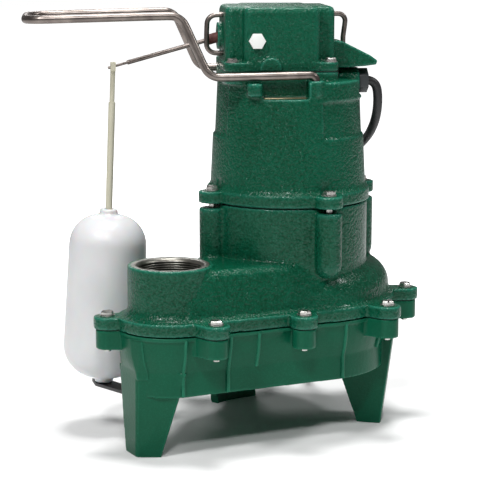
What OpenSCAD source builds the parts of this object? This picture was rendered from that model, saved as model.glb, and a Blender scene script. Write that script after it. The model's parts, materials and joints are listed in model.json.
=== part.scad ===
// A submersible sewage pump with a vertical float switch, in millimetres.
// The pump stands on the floor at z = 0. The origin is at the middle of its footprint,
// cord left out, and the motor's axis is vertical.

/* [Pump chamber] */
// Radius of the chamber flange
chamber_r = 105; // [100:0.5:112]
// Chamber centre right of the motor axis
chamber_dx = 9; // [5:0.5:12]
// Chamber centre behind the motor axis
chamber_dy = 16; // [12:0.5:20]
// Underside of the chamber floor
floor_z = 60; // [50:1:68]
// Thickness of the chamber floor
floor_t = 8; // [6:0.5:11]
// Height where the casing's skirt ends
skirt_z = 83; // [78:1:90]
// Height of the joint between base and volute
joint_z = 118; // [112:0.5:124]
// Step from flange edge to the wall, at the joint
wall_step = 6; // [4:0.5:8]
// Step from flange edge to the skirt
skirt_step = 9.5; // [8.5:0.5:12]
// Wall thickness of the castings
wall = 6.5; // [5:0.5:8]
// Radius of the suction inlet
inlet_r = 30; // [22:0.5:36]

/* [Discharge] */
// Discharge axis left of the motor axis
discharge_dx = 142; // [138:0.5:148]
// Discharge axis in front of the motor axis
discharge_dy = 35; // [31:0.5:38]
// Radius of the flange round the discharge
lobe_r = 50; // [47:0.5:52]
// Outer radius of the discharge collar
collar_r = 40; // [37:0.5:42]
// Top of the discharge collar
collar_z = 177.9; // [172:0.1:186]
// Radius of the threaded outlet
outlet_r = 28.9; // [25:0.1:31]

/* [Bolted flanges] */
// Thickness of the volute flange
flange_t = 11.5; // [9:0.5:14]
// Distance of the chamber's bolts outside the flange edge
bolt_out = 14; // [12.5:0.5:16]
// Radius of a bolt ear
ear_r = 13; // [11:0.5:14]
// Height of the half-round boss under each ear
boss_h = 18; // [12:0.5:24]
// Radius of a bolt's shank
bolt_r = 3.1; // [2.5:0.1:3.8]
// Across-flats size of a bolt's head
bolt_head = 10.6; // [9:0.1:12]
// Height of a bolt's head
bolt_head_h = 4.6; // [3:0.1:6]
// Radius of the circle of bolts round the motor
motor_bolt_r = 81.8; // [80:0.1:86]
// Thickness of the motor flange
motor_flange_t = 11.5; // [9:0.5:14]
// Gap between a motor ear and its column
ear_gap = 3.5; // [1:0.5:6]

/* [Motor housing] */
// Outer radius of the oil chamber
oil_r = 77; // [75:0.5:79]
// Top of the volute casting's dome
dome_z = 170; // [164:0.5:175]
// Top of the oil chamber
oil_z = 226; // [220:0.5:232]
// Radius of the motor flange ring
motor_flange_r = 79; // [77:0.5:80.5]
// Housing radius above the flange
housing_low_r = 75.5; // [73:0.5:77]
// Housing radius at its top
housing_top_r = 70; // [68:0.5:72]
// Inner radius of the motor housing
housing_bore_r = 65; // [61:0.5:66]
// Depth of the shallow side recesses
recess_t = 2.2; // [1:0.1:3]
// Lower edge of the side recesses
recess_z = 290; // [284:1:300]
// Depth of the front pocket below the housing's top
pocket_drop = 24; // [18:0.5:30]
// Drop of the cord's entry below the housing's top
gland_drop = 12.2; // [11:0.1:14]
// Radius of a handle boss
handle_boss_r = 7.2; // [6:0.1:8]

/* [Switch cap] */
// Turn of the cap about the motor's axis
cap_turn = -21; // [-24:0.5:-18]
// Cap centre left of the motor axis
cap_dx = 12; // [10:0.5:14]
// Length of the cap's foot plate
cap_l = 108; // [104:0.5:112]
// Width of the cap's foot plate
cap_w = 105; // [102:0.5:108]
// Thickness of the foot plate
cap_plate_t = 8; // [6:0.5:10]
// Overall height of the pump
total_h = 412.75; // [408:0.25:418]
// Height of the cap
cap_h = 59.75; // [57:0.25:63]
// Rounding of the cap's top edge
cap_edge = 5; // [2:0.5:6]
// Wall thickness of the cap
cap_wall = 6; // [4:0.5:7]
// Length of the cap's front and rear faces
cap_front_l = 71; // [66:0.5:76]
// Width of the cap's end faces
cap_end_w = 72; // [66:0.5:76]
// Radius of the cap's corners
cap_corner_r = 6; // [3:0.5:8]
// Height of the hood where it meets the cap
hood_h = 27; // [24:0.5:30]

/* [Handle and guards] */
// Diameter of the handle rod
handle_d = 8; // [7:0.1:9]
// Distance between the handle's two legs
handle_w = 124.4; // [122:0.2:127]
// Reach of the handle from the motor axis
handle_reach = 250; // [235:1:258]
// Distance between the two rods of the raised grip
grip_w = 98; // [90:1:110]
// Drop of the raised grip below the cap's top
grip_drop = 7.75; // [4:0.25:14]
// Drop of the lower run below the cap's foot
handle_drop = 2.8; // [1:0.1:5]
// Diameter of a guard wire
guard_d = 5; // [4:0.1:6]

/* [Float switch] */
// Reach of the arm's eye from the motor axis
arm_reach = 168.4; // [162:0.2:174]
// Height of the arm's pivot above the cap's foot
pivot_up = 30.6; // [27:0.2:34]
// Slope of the arm at rest
arm_drop = 15.3; // [12:0.1:18]
// Diameter of the arm
arm_d = 4.4; // [3.6:0.1:5]
// Diameter of the arm's thin tip
arm_tip_d = 2.6; // [2:0.1:3]
// Lean of the float's stem
stem_lean = 2.4; // [1:0.1:3.5]
// Diameter of the stem
stem_d = 6.6; // [5.6:0.1:7.4]
// Widest radius of the float
float_r = 40.3; // [37:0.1:41]
// Radius of the float's upper part
float_top_r = 37.6; // [35:0.1:39]
// Height of the float's lower neck
float_z = 46; // [40:0.5:52]
// Length of the float's body
float_l = 160.5; // [150:0.5:166]
// Travel of the float
float_travel = 62; // [40:1:66]

/* [Motor and impeller] */
// Radius of the shaft
shaft_r = 8.5; // [7.5:0.1:9.5]
// Radius of the rotor
rotor_r = 32.4; // [28:0.1:36]
// Gap between rotor and stator
air_gap = 0.6; // [0.4:0.1:1.2]
// Radius of the impeller
impeller_r = 60; // [50:0.5:68]
// Height of the impeller vanes
vane_h = 18; // [12:0.5:22]
// Number of impeller vanes
vane_count = 6; // [4:1:8]
// Thickness of a vane
vane_t = 4.5; // [3.5:0.5:6]

/* [Cord] */
// Diameter of the cord
cord_d = 9; // [8:0.5:10]
// Radius of the coil's middle turn
coil_r = 53; // [46:1:54]

/* [Hidden] */

$fn = 72;
eps = 0.01;
// Gasket thickness, running gaps and other clearances
gasket_t = 1;
hole_clear = 0.3;
loose = 0.4;
rod_clear = 0.15;

green = [0.02, 0.25, 0.16];
steel = [0.62, 0.58, 0.54];
black = [0.07, 0.07, 0.07];

flange_z = joint_z + gasket_t;
flange_top = flange_z + flange_t;
motor_flange_z = oil_z + gasket_t;
motor_flange_top = motor_flange_z + motor_flange_t;
cap_z = total_h - cap_h;
housing_z = cap_z - gasket_t;
pocket_z = housing_z - pocket_drop;
pivot_z = cap_z + pivot_up;
handle_z = total_h - grip_drop;
handle_low_z = cap_z - handle_drop;

ear_reach = bolt_out + wall_step + 4;

chamber = [chamber_dx, chamber_dy];
lobe = [-discharge_dx, -discharge_dy];

function dir(a) = [cos(a), sin(a)];
function unit(v) = v / norm(v);
function turn(p, a) = [p[0] * cos(a) - p[1] * sin(a), p[0] * sin(a) + p[1] * cos(a)];

// Angle of the line that touches both discs at the front
chamber_bearing = atan2(chamber[1] - lobe[1], chamber[0] - lobe[0]);
front_angle = chamber_bearing - 90 - asin((chamber_r - lobe_r) / norm(chamber - lobe));
// The web's straight back edge: the direction it faces, and how far it cuts into the flange
tongue_angle = 139.3;
tongue_in = 2.2;
web_inset = 0.4;
lip = 0.5;

// Bolts round the chamber, then the two at the discharge
chamber_bolt_angles = [-110.7, -65, -19.3, 26.3, 72, 117.5, 152];
chamber_bolts = [for (a = chamber_bolt_angles) chamber + (chamber_r + bolt_out) * dir(a)];
lobe_bolt_angles = [159.6, -74.5];
lobe_bolt_outs = [bolt_out - 5, bolt_out];
lobe_bolts = [for (i = [0, 1]) lobe + (lobe_r + lobe_bolt_outs[i]) * dir(lobe_bolt_angles[i])];
volute_bolts_at = concat(chamber_bolts, lobe_bolts);
motor_bolt_angles = [0, 90, 180, 270];

// The footprint's middle, seen from the motor's axis: the handle's loop reaches furthest
// left and back, and bolt ears furthest right and front
handle_tip_r = 20;
handle_out = handle_tip_r + handle_d / 2;
handle_corner = [-handle_reach + handle_tip_r, grip_w / 2 - handle_tip_r];
low_x = turn([handle_corner[0], -handle_corner[1]], cap_turn)[0] - handle_out;
high_x = max([for (b = volute_bolts_at) b[0]]) + ear_r;
low_y = min([for (b = volute_bolts_at) b[1]]) - ear_r;
high_y = max(turn(handle_corner, cap_turn)[1] + handle_out,
             max([for (b = volute_bolts_at) b[1]]) + ear_r);
axis_at = [-(low_x + high_x) / 2, -(low_y + high_y) / 2];

module at_axis() { translate([axis_at[0], axis_at[1], 0]) children(); }
module cap_frame() { at_axis() rotate([0, 0, cap_turn]) children(); }

// The web that joins the chamber's disc to the discharge's
function web_points(grow) = let (rc = chamber_r + grow - web_inset, rl = lobe_r + grow - web_inset,
    back = dir(tongue_angle), back_c = chamber_r + grow - tongue_in)
    [lobe + rl * dir(front_angle), chamber + rc * dir(front_angle), chamber, chamber + back_c * back,
     lobe + (back_c + (chamber - lobe) * back) * back, lobe];

module casing_plan(grow) {
    translate(chamber) circle(r = chamber_r + grow, $fn = 96);
    translate(lobe) circle(r = lobe_r + grow);
    polygon(web_points(grow));
}

// A casing-shaped solid whose wall leans between two steps
module casing_taper(z0, z1, grow0, grow1) {
    translate([chamber[0], chamber[1], z0])
        cylinder(h = z1 - z0, r1 = chamber_r + grow0, r2 = chamber_r + grow1, $fn = 96);
    translate([lobe[0], lobe[1], z0])
        cylinder(h = z1 - z0, r1 = lobe_r + grow0, r2 = lobe_r + grow1);
    hull() {
        translate([0, 0, z0]) linear_extrude(lip) polygon(web_points(grow0));
        translate([0, 0, z1 - lip]) linear_extrude(lip) polygon(web_points(grow1));
    }
}

module casing_slab(z0, z1, grow) {
    translate([0, 0, z0]) linear_extrude(z1 - z0) casing_plan(grow);
}

// One ear per bolt, reaching back to the flange it belongs to
module ear_plan(bolt, centre, r) {
    translate(bolt) circle(r = r);
    away = unit(bolt - centre);
    translate(bolt) rotate(atan2(away[1], away[0]))
        translate([-ear_reach, -r + 0.05]) square([ear_reach, 2 * r - 0.1]);
}

module all_ears(r) {
    for (b = chamber_bolts) ear_plan(b, chamber, r);
    for (b = lobe_bolts) ear_plan(b, lobe, r);
}

module drill(points, z0, z1, r) {
    for (p = points) translate([p[0], p[1], z0]) cylinder(h = z1 - z0, r = r, $fn = 24);
}

// The base: the chamber's lower half on three legs

leg_lean = 11.5;
leg_high_r = chamber_r + 1.5;
leg_low_r = leg_high_r - leg_lean;
leg_z = 88;
leg_t = 9;
back_leg_angles = [84, 118];
right_leg_angles = [-42, -18];
// Inner edge of the right leg's web, at the floor and under the chamber
web_low_r = 71.5;
web_high_r = 50;

module wedge(a0, a1, r, z1) {
    linear_extrude(z1) polygon([[0, 0], r * dir(a0), r * 1.1 * dir((a0 + a1) / 2), r * dir(a1)]);
}

module curved_leg(angles) {
    translate([chamber[0], chamber[1], 0]) intersection() {
        difference() {
            cylinder(h = leg_z, r1 = leg_low_r, r2 = leg_high_r);
            translate([0, 0, -eps])
                cylinder(h = leg_z + 2 * eps, r1 = leg_low_r - leg_t, r2 = leg_high_r - leg_t);
        }
        wedge(angles[0], angles[1], 1.5 * leg_high_r, leg_z);
    }
}

// A flat web on the chamber's radius, its inner edge leaning outwards to the floor
module radial_web(angle, low_in, high_in) {
    translate([chamber[0], chamber[1], 0]) rotate([90, 0, angle]) translate([0, 0, -leg_t])
        linear_extrude(leg_t) polygon([[low_in, 0], [leg_low_r - 1, 0],
            [leg_low_r - 1 + (leg_high_r - leg_low_r) * 0.8, leg_z * 0.8], [high_in, leg_z * 0.8],
            [high_in, floor_z]]);
}

// The left leg is an angle under the discharge: one plate faces left, one faces front
module leg_plate(floor_plan, top_plan) {
    hull() {
        linear_extrude(eps) polygon(floor_plan);
        translate([0, 0, skirt_z]) linear_extrude(eps) polygon(top_plan);
    }
}

module left_leg() {
    r = lobe_r - skirt_step;
    translate(lobe) {
        leg_plate([[-r - 0.5, 15], [-r - 0.5, -9], [-r + 7.5, -9], [-r + 7.5, 15]],
                  [[-r - 2, 24], [-r - 2, -15], [-r + 8.5, -15], [-r + 6.5, 24]]);
        leg_plate([[-r + 0.3, -5.5], [-r + 0.3, -10.8], [-r + 20, -21], [-r + 24, -14], [-r + 6, -5.5]],
                  [[-r - 0.7, -10], [-r - 0.7, -17.4], [-5, -r - 3.5], [0, -r + 4], [-r + 7, -9]]);
    }
}

// Thin raised lines down the casing wall, where the panels meet
rib_places = [-149, -104, -75, 17, 65];
rib_w = 1.6;
rib_t = 1.1;

module wall_ribs() {
    intersection() {
        casing_taper(skirt_z, joint_z - 1, rib_t - skirt_step, rib_t - wall_step);
        for (x = rib_places) translate([x, chamber[1] - chamber_r - 10, skirt_z])
            cube([rib_w, chamber_r, joint_z - skirt_z - 1]);
    }
}

module base_casting() {
    color(green) at_axis() difference() {
        union() {
            casing_slab(floor_z, skirt_z + 0.5, -skirt_step);
            casing_taper(skirt_z, joint_z, -skirt_step, -wall_step);
            wall_ribs();
            translate([0, 0, joint_z - boss_h]) linear_extrude(boss_h) all_ears(ear_r - 2);
            curved_leg(back_leg_angles);
            curved_leg(right_leg_angles);
            radial_web(right_leg_angles[0], web_low_r, web_high_r);
            left_leg();
        }
        casing_slab(floor_z + floor_t, joint_z + eps, -skirt_step - wall);
        translate([0, 0, floor_z - eps]) cylinder(h = floor_t + 1, r = inlet_r);
        translate([guide_foot[0], guide_foot[1], floor_z - eps])
            cylinder(h = floor_t + 1, r = screw_r + hole_clear, $fn = 24);
        drill(volute_bolts_at, joint_z - boss_h - 1, joint_z + eps, bolt_r + hole_clear);
    }
}

module volute_gasket() {
    color(black) at_axis() translate([0, 0, joint_z]) linear_extrude(gasket_t) difference() {
        union() {
            casing_plan(-wall_step - 0.5);
            all_ears(ear_r - 3);
        }
        casing_plan(-skirt_step - wall);
        for (b = volute_bolts_at) translate(b) circle(r = bolt_r + hole_clear, $fn = 24);
    }
}

// The volute casting: chamber top, discharge collar, dome and oil chamber

dome_steps = 8;
roof_in = 5;
channel_r = 9;
channel_lean = 5;
channel_fillet = 7;
channel_sink = 0.4;
chamber_top = 150;
oil_floor = 190;
column_r = 12.5;
column_z = 160;

// The dome's outline: radius and height from the flange up to the oil chamber
function dome_outline() = [for (i = [0:dome_steps])
    let (a = 90 * i / dome_steps)
    [oil_r - 4 + (chamber_r - roof_in - oil_r + 4) * cos(a),
     flange_top + 9 + (dome_z - 4 - flange_top - 9) * sin(a)]];

module dome() {
    rotate_extrude($fn = 96)
        polygon(concat([[0, flange_top - 1], [chamber_r - 1, flange_top - 1],
                        [chamber_r - 1, flange_top], [chamber_r - roof_in + 1, flange_top + 3],
                        [chamber_r - roof_in, flange_top + 9]],
                       dome_outline(), [[oil_r - 4, dome_z], [0, dome_z]]));
}

// The channel along the front, from the chamber to the discharge
channel_in = 1.5;
channel_top = collar_z - 3;

module channel() {
    foot = -lobe_r + channel_in;
    translate([lobe[0], lobe[1], 0]) rotate([0, 0, front_angle + 90]) rotate([90, 0, 90])
        linear_extrude(discharge_dx) polygon(concat(
            [[discharge_dy, flange_top - 1], [foot, flange_top - 1]],
            arc_points(foot, flange_top + channel_fillet - channel_sink, channel_fillet - 1,
                       channel_fillet, -90, 0, 5),
            arc_points(foot + channel_fillet + channel_lean + channel_r, channel_top - channel_r,
                       channel_r, channel_r, 170, 90, 5),
            arc_points(discharge_dy - channel_r, channel_top - channel_r, channel_r, channel_r, 90, 0, 5)));
}

// A bolt column, round at its foot where it runs out on the channel's wall
module column() {
    translate([0, 0, column_z]) rotate_extrude() polygon(concat(
        arc_points(0, column_r, column_r, column_r, -90, 0, 8),
        [[column_r, oil_z - ear_gap - column_z], [0, oil_z - ear_gap - column_z]]));
}

module collar() {
    translate([lobe[0], lobe[1], 0]) {
        translate([0, 0, flange_top - 1]) cylinder(h = collar_z - flange_top + 1, r = collar_r);
        rotate_extrude() polygon(concat([[0, flange_top - 1], [lobe_r - 1.5, flange_top - 1]],
            [for (i = [0:5]) let (a = 180 + 90 * (5 - i) / 5)
                [lobe_r - 1.5 + (lobe_r - 1.5 - collar_r) * cos(a) * 1.02,
                 flange_top + 10 + 10 * sin(a)]], [[0, flange_top + 10]]));
    }
}

module volute_casting() {
    color(green) at_axis() difference() {
        union() {
            casing_slab(flange_z, flange_top, 0);
            translate([0, 0, flange_z]) linear_extrude(flange_t) all_ears(ear_r);
            translate([chamber[0], chamber[1], 0]) dome();
            channel();
            collar();
            translate([0, 0, flange_top]) cylinder(h = oil_z - flange_top, r = oil_r);
            for (a = motor_bolt_angles) translate([motor_bolt_r * cos(a), motor_bolt_r * sin(a), 0]) column();
        }
        casing_slab(flange_z - eps, chamber_top, -skirt_step - wall);
        translate([0, 0, chamber_top + wall + 1]) difference() {
            cylinder(h = oil_z, r = oil_r - wall);
            cylinder(h = oil_floor - chamber_top - wall - 1, r = bearing_r + wall);
        }
        bearing_seat();
        translate([lobe[0], lobe[1], chamber_top - 1]) {
            cylinder(h = collar_z, r = outlet_r);
            translate([0, 0, collar_z - chamber_top - 2])
                cylinder(h = 3.1, r1 = outlet_r, r2 = outlet_r + 3.1);
        }
        drill(volute_bolts_at, flange_z - eps, flange_top + eps, bolt_r + hole_clear);
        for (b = volute_bolts_at) translate([b[0], b[1], flange_top])
            cylinder(h = 12, r = bolt_head / 2 + 3);
        for (a = motor_bolt_angles) translate([motor_bolt_r * cos(a), motor_bolt_r * sin(a), oil_z - 25])
            cylinder(h = 30, r = bolt_r + hole_clear, $fn = 24);
    }
}

// Bearings and seal

bearing_r = 20;
bearing_h = 12;
seal_r = 17;
seat_h = 7;
head_h = 14;

module bearing_seat() {
    translate([0, 0, oil_floor - bearing_h]) cylinder(h = bearing_h + eps, r = bearing_r);
    translate([0, 0, chamber_top - 1]) cylinder(h = oil_floor - chamber_top, r = seal_r);
}

module ring(z0, h, r_in, r_out) {
    translate([0, 0, z0]) difference() {
        cylinder(h = h, r = r_out);
        translate([0, 0, -1]) cylinder(h = h + 2, r = r_in);
    }
}

module lower_bearing() {
    color(steel) at_axis() ring(oil_floor - bearing_h, bearing_h, shaft_r + 0.05, bearing_r);
}

module upper_bearing() {
    color(steel) at_axis() ring(housing_top - bearing_h, bearing_h, shaft_r + 0.05, bearing_r);
}

module seal_seat() {
    color("white") at_axis() ring(chamber_top, seat_h, shaft_r + 0.6, seal_r);
}

module seal_head() {
    color(black) at_axis() ring(chamber_top + seat_h + 0.05, head_h, shaft_r, seal_r - 2);
}

// The motor housing

top_t = 11;
housing_top = housing_z - top_t;
gland_z = housing_z - gland_drop;
gland_boss_r = 13;
gland_boss_x = 68;
handle_x = 18.4;
spare_boss_x = -39;
// The bosses stand up past the shoulder, the used one higher
boss_tops = [housing_top + 4, housing_top + 2];
boss_foot = 3;
pocket_y = 52.5;
// Angles of the two side recesses, in the cap's frame
left_recess = [151, 209];
right_recess = [-69.6, 40];

// A rectangle with round corners whose flats and arcs stay exact
module round_rect(l, w, r) {
    square([l - 2 * r, w], center = true);
    square([l, w - 2 * r], center = true);
    for (x = [-1, 1], y = [-1, 1]) translate([x * (l / 2 - r), y * (w / 2 - r)])
        circle(r = r, $fn = 32);
}

module side_recess(angles, z0, z1) {
    intersection() {
        difference() {
            translate([0, 0, z0]) cylinder(h = z1 - z0, r = housing_low_r + 10);
            translate([0, 0, motor_flange_top]) cylinder(h = housing_z - motor_flange_top,
                r1 = housing_low_r - recess_t, r2 = housing_top_r - recess_t);
        }
        wedge(angles[0], angles[1], 2 * housing_low_r, housing_z);
    }
}

// A round boss under the handle's rod, with a neck back to the wall
module handle_boss(h, side) {
    linear_extrude(h) {
        translate([0, side * handle_w / 2]) circle(r = handle_boss_r);
        translate([-handle_boss_r + 0.2, side > 0 ? pocket_y - wall : -handle_w / 2])
            square([2 * handle_boss_r - 0.4, handle_w / 2 - pocket_y + wall]);
    }
}

module motor_housing() {
    color(green) difference() {
        union() {
            at_axis() {
                translate([0, 0, motor_flange_z]) cylinder(h = motor_flange_t, r = motor_flange_r);
                translate([0, 0, motor_flange_top - eps]) cylinder(h = 4, r1 = motor_flange_r - 1,
                    r2 = housing_low_r - 0.5);
                for (a = motor_bolt_angles) rotate([0, 0, a])
                    translate([0, 0, motor_flange_z]) linear_extrude(motor_flange_t)
                        ear_plan([motor_bolt_r, 0], [0, 0], ear_r);
            }
            cap_frame() difference() {
                translate([0, 0, motor_flange_top - 1]) cylinder(h = housing_top + 3 - motor_flange_top,
                    r1 = housing_low_r, r2 = housing_top_r, $fn = 96);
                side_recess(left_recess, recess_z, housing_z);
                side_recess(right_recess, recess_z, gland_z - gland_boss_r - 2);
                translate([spare_boss_x + handle_boss_r, -pocket_y - 40, pocket_z])
                    cube([handle_x - spare_boss_x - 2 * handle_boss_r, 40, 40]);
                translate([gland_boss_x - 12, -2 * gland_boss_r, gland_z - gland_boss_r])
                    cube([40, 4 * gland_boss_r, 40]);
            }
            cap_frame() {
                translate([-cap_dx, 0, housing_top]) linear_extrude(top_t) round_rect(cap_l, cap_w, 10);
                for (i = [0, 1], y = [-1, 1]) translate([i == 0 ? handle_x : spare_boss_x, 0, pocket_z + boss_foot])
                    handle_boss(boss_tops[i] - pocket_z - boss_foot, y);
                translate([gland_boss_x - 20, 0, gland_z]) rotate([0, 90, 0])
                    cylinder(h = 20, r = gland_boss_r);
            }
        }
        at_axis() {
            translate([0, 0, motor_flange_z - eps]) cylinder(h = pocket_z - wall - motor_flange_z,
                r = housing_bore_r);
            translate([0, 0, pocket_z - wall - 1]) difference() {
                cylinder(h = housing_top - pocket_z + wall + 1, r = pocket_y - wall - 1);
                translate([0, 0, 1 - eps]) cylinder(h = 40, r = bearing_r + 5);
            }
            translate([0, 0, housing_top - bearing_h - 9]) cylinder(h = bearing_h + 9, r = bearing_r);
            for (a = motor_bolt_angles) translate([motor_bolt_r * cos(a), motor_bolt_r * sin(a),
                motor_flange_z - 1]) cylinder(h = motor_flange_t + 2, r = bolt_r + hole_clear, $fn = 24);
            for (a = motor_bolt_angles) translate([motor_bolt_r * cos(a), motor_bolt_r * sin(a),
                motor_flange_top]) cylinder(h = 12, r = bolt_head / 2 + 3);
        }
        cap_frame() {
            // Wire passage up into the cap, and the cord's way in
            translate([26, 21, housing_top - 3]) cylinder(h = 60, r = 5.5);
            translate([36, 0, gland_z]) rotate([0, 90, 0]) cylinder(h = 50, r = gland_thread_r);
            for (y = [-1, 1]) translate([handle_x, y * handle_w / 2, handle_low_z - handle_peg])
                cylinder(h = 60, r = handle_d / 2 + rod_clear);
            for (x = [-1, 1], y = [-1, 1]) translate([cap_screw_x(x), cap_screw_y(y), housing_z - 9])
                cylinder(h = 10, r = screw_r + hole_clear, $fn = 24);
        }
    }
}

module motor_gasket() {
    color(black) at_axis() ring(oil_z, gasket_t, oil_r - wall + 0.5, oil_r - 2.5);
}

module cap_gasket() {
    color(black) cap_frame() translate([-cap_dx, 0, housing_z]) linear_extrude(gasket_t) difference() {
        round_rect(cap_l - 2, cap_w - 2, 9);
        cap_plan(-cap_wall);
        for (x = [-1, 1], y = [-1, 1])
            translate([cap_screw_x(x) + cap_dx, cap_screw_y(y)]) circle(r = screw_r + hole_clear, $fn = 24);
    }
}

// The switch cap

screw_r = 2.4;
screw_in = 7.5;
cap_screw_head = 9;
cap_screw_head_h = 4;
cap_screw_grip = 7;
plug_x = -36;
plug_z = cap_z + 28.4;
boot_r = 5;
pivot_x = -63;
ball_r = 7;
cap_boss_r = 13;
cap_boss_t = 5;

function cap_screw_x(side) = -cap_dx + side * (cap_l / 2 - screw_in);
function cap_screw_y(side) = side * (cap_w / 2 - screw_in);

module cap_plan(grow) {
    round_rect(cap_front_l + 2 * grow, cap_w - 1 + 2 * grow, max(cap_corner_r + grow, 1));
    round_rect(cap_l - 4 + 2 * grow, cap_end_w + 2 * grow, max(cap_corner_r + grow, 1));
}

hood_tip = 84;
hood_w = 36;
cap_end = cap_l / 2 - 2;

module hood() {
    rotate([90, 0, 0]) translate([0, 0, -hood_w / 2]) linear_extrude(hood_w)
        polygon([[cap_end - cap_dx - 4, cap_z], [cap_end - cap_dx - 4, cap_z + hood_h],
                 [50, cap_z + hood_h - 1.5], [hood_tip - 7, cap_z + hood_h - 15],
                 [hood_tip, cap_z + hood_h - 20], [hood_tip - 1, cap_z + 3],
                 [hood_tip - 13, cap_z + 1.5], [cap_end - cap_dx + 3, cap_z]]);
}

// The top of one of the cap's two crossing blocks, its edge rounded off
module rounded_top(l, w) {
    hull() for (k = [[0, 0], [0.29, 0.71], [1, 1]]) translate([0, 0, k[1] * cap_edge - eps])
        linear_extrude(eps) round_rect(l - 2 * k[0] * cap_edge, w - 2 * k[0] * cap_edge,
                                       max(cap_corner_r - k[0] * cap_edge, 1));
}

arch_x = -23;
arch_r = 10;
arch_out = 3;
arch_up = 3;

// A raised arch at the foot of the cap's front
module arch() {
    translate([arch_x, -cap_w / 2 + cap_wall, cap_z + arch_up]) rotate([90, 0, 0])
        linear_extrude(cap_wall + arch_out) polygon(concat([[-arch_r, 0.5 - arch_up], [arch_r, 0.5 - arch_up]],
            arc_points(0, 0, arch_r, arch_r, 0, 180, 12)));
}

module switch_cap() {
    color(green) cap_frame() difference() {
        union() {
            translate([-cap_dx, 0, cap_z]) {
                linear_extrude(cap_plate_t) round_rect(cap_l, cap_w, 10);
                linear_extrude(cap_h - cap_edge + eps) cap_plan(0);
                translate([0, 0, cap_h - cap_edge]) {
                    rounded_top(cap_front_l, cap_w - 1);
                    rounded_top(cap_l - 4, cap_end_w);
                }
            }
            arch();
            hood();
            translate([cap_end_x() + 4, 0, pivot_z]) rotate([0, -90, 0])
                cylinder(h = cap_boss_t + 4, r = cap_boss_r);
        }
        translate([-cap_dx, 0, cap_z - eps])
            linear_extrude(total_h - cap_z - cap_wall) cap_plan(-cap_wall);
        for (x = [-1, 1], y = [-1, 1]) translate([cap_screw_x(x), cap_screw_y(y), cap_z - 1]) {
            cylinder(h = cap_plate_t + 2, r = screw_r + hole_clear, $fn = 24);
            translate([0, 0, cap_plate_t + 1]) cylinder(h = cap_h, r = cap_screw_head / 2 + 2);
        }
        // The arm's way in, and the vent
        translate([cap_end_x() - 20, 0, pivot_z]) rotate([0, 90, 0])
            cylinder(h = 40, r = ball_r + 0.35);
        translate([pivot_x, 0, pivot_z]) rotate([90, 0, 0])
            cylinder(h = pin_l + 0.4, r = pin_r, center = true, $fn = 24);
        translate([plug_x, -cap_w / 2 - 1, plug_z]) rotate([-90, 0, 0])
            cylinder(h = 20, r = plug_thread_r + 0.2);
        for (z = guard_zs) translate([cap_end_x() - 1, guard_y, z]) rotate([0, 90, 0])
            cylinder(h = guard_in + 1, r = guard_d / 2 + rod_clear);
        translate([cap_end - cap_dx - guard_in, 0, guard_zs[0]]) rotate([0, 90, 0])
            cylinder(h = guard_in + 20, r = guard_d / 2 + rod_clear);
        translate([guard_foot_x, 0, cap_z + hood_h - 12]) cylinder(h = 30, r = guard_d / 2 + rod_clear);
    }
}

function cap_end_x() = -cap_dx - cap_end;

guard_zs = [total_h - 8.75, cap_z + 14.5];
guard_in = 4;
guard_y = -9;
pin_r = 1.2;
pin_l = 2 * ball_r + 6;
guard_foot_x = 53;

plug_af = 13.5;
plug_thread_r = 5.2;

module vent_plug() {
    color("white") cap_frame() translate([plug_x, 0, plug_z]) rotate([90, 0, 0]) {
        translate([0, 0, cap_w / 2 - 0.5]) cylinder(h = 6, d = plug_af / cos(30), $fn = 6);
        translate([0, 0, cap_w / 2 - 7]) cylinder(h = 7, r = plug_thread_r);
    }
}

plate_l = 40;
plate_w = 9;

module rating_plate() {
    color([0.6, 0.5, 0.3]) cap_frame()
        translate([(handle_x + spare_boss_x) / 2 - plate_l / 2, -pocket_y - plate_w - 1, pocket_z])
            cube([plate_l, plate_w, 1]);
}

// Fasteners

module slotted_bolt(l, r, head, head_h) {
    difference() {
        cylinder(h = head_h, d = head / cos(30), $fn = 6);
        translate([-head, -0.8, head_h - 1.2]) cube([2 * head, 1.6, 2]);
    }
    translate([0, 0, -l]) cylinder(h = l, r = r, $fn = 24);
}

bolt_l = flange_t + gasket_t + boss_h + 3;
motor_bolt_grip = 20;
motor_bolt_l = motor_flange_t + motor_bolt_grip;

module volute_bolts() {
    color(steel) at_axis() for (b = volute_bolts_at)
        translate([b[0], b[1], flange_top]) slotted_bolt(bolt_l, bolt_r, bolt_head, bolt_head_h);
}

module motor_bolts() {
    color(steel) at_axis() for (a = motor_bolt_angles)
        translate([motor_bolt_r * cos(a), motor_bolt_r * sin(a), motor_flange_top])
            slotted_bolt(motor_bolt_l, bolt_r, bolt_head, bolt_head_h);
}

module cap_screws() {
    color(steel) cap_frame() for (x = [-1, 1], y = [-1, 1])
        translate([cap_screw_x(x), cap_screw_y(y), cap_z + cap_plate_t])
            slotted_bolt(cap_plate_t + gasket_t + cap_screw_grip, screw_r, cap_screw_head, cap_screw_head_h);
}

// Bent rods: straight runs joined by round bends, swept along their middle line

bend_steps = 6;
rod_sides = 16;

function bend_angle(p, i) = acos(unit(p[i] - p[i - 1]) * unit(p[i + 1] - p[i]));

// Points round the bend at corner i, from one straight run to the next
function bend_points(p, r, i) = let (
    u = unit(p[i] - p[i - 1]), v = unit(p[i + 1] - p[i]), side = unit(v - (u * v) * u),
    start = p[i] - u * r[i] * tan(bend_angle(p, i) / 2), centre = start + side * r[i])
    [for (k = [0:bend_steps]) let (a = bend_angle(p, i) * k / bend_steps)
        centre + r[i] * (sin(a) * u - cos(a) * side)];

function bent_path(p, r) = concat([p[0]], [for (i = [1:len(p) - 2], q = bend_points(p, r, i)) q],
                                  [p[len(p) - 1]]);

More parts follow.
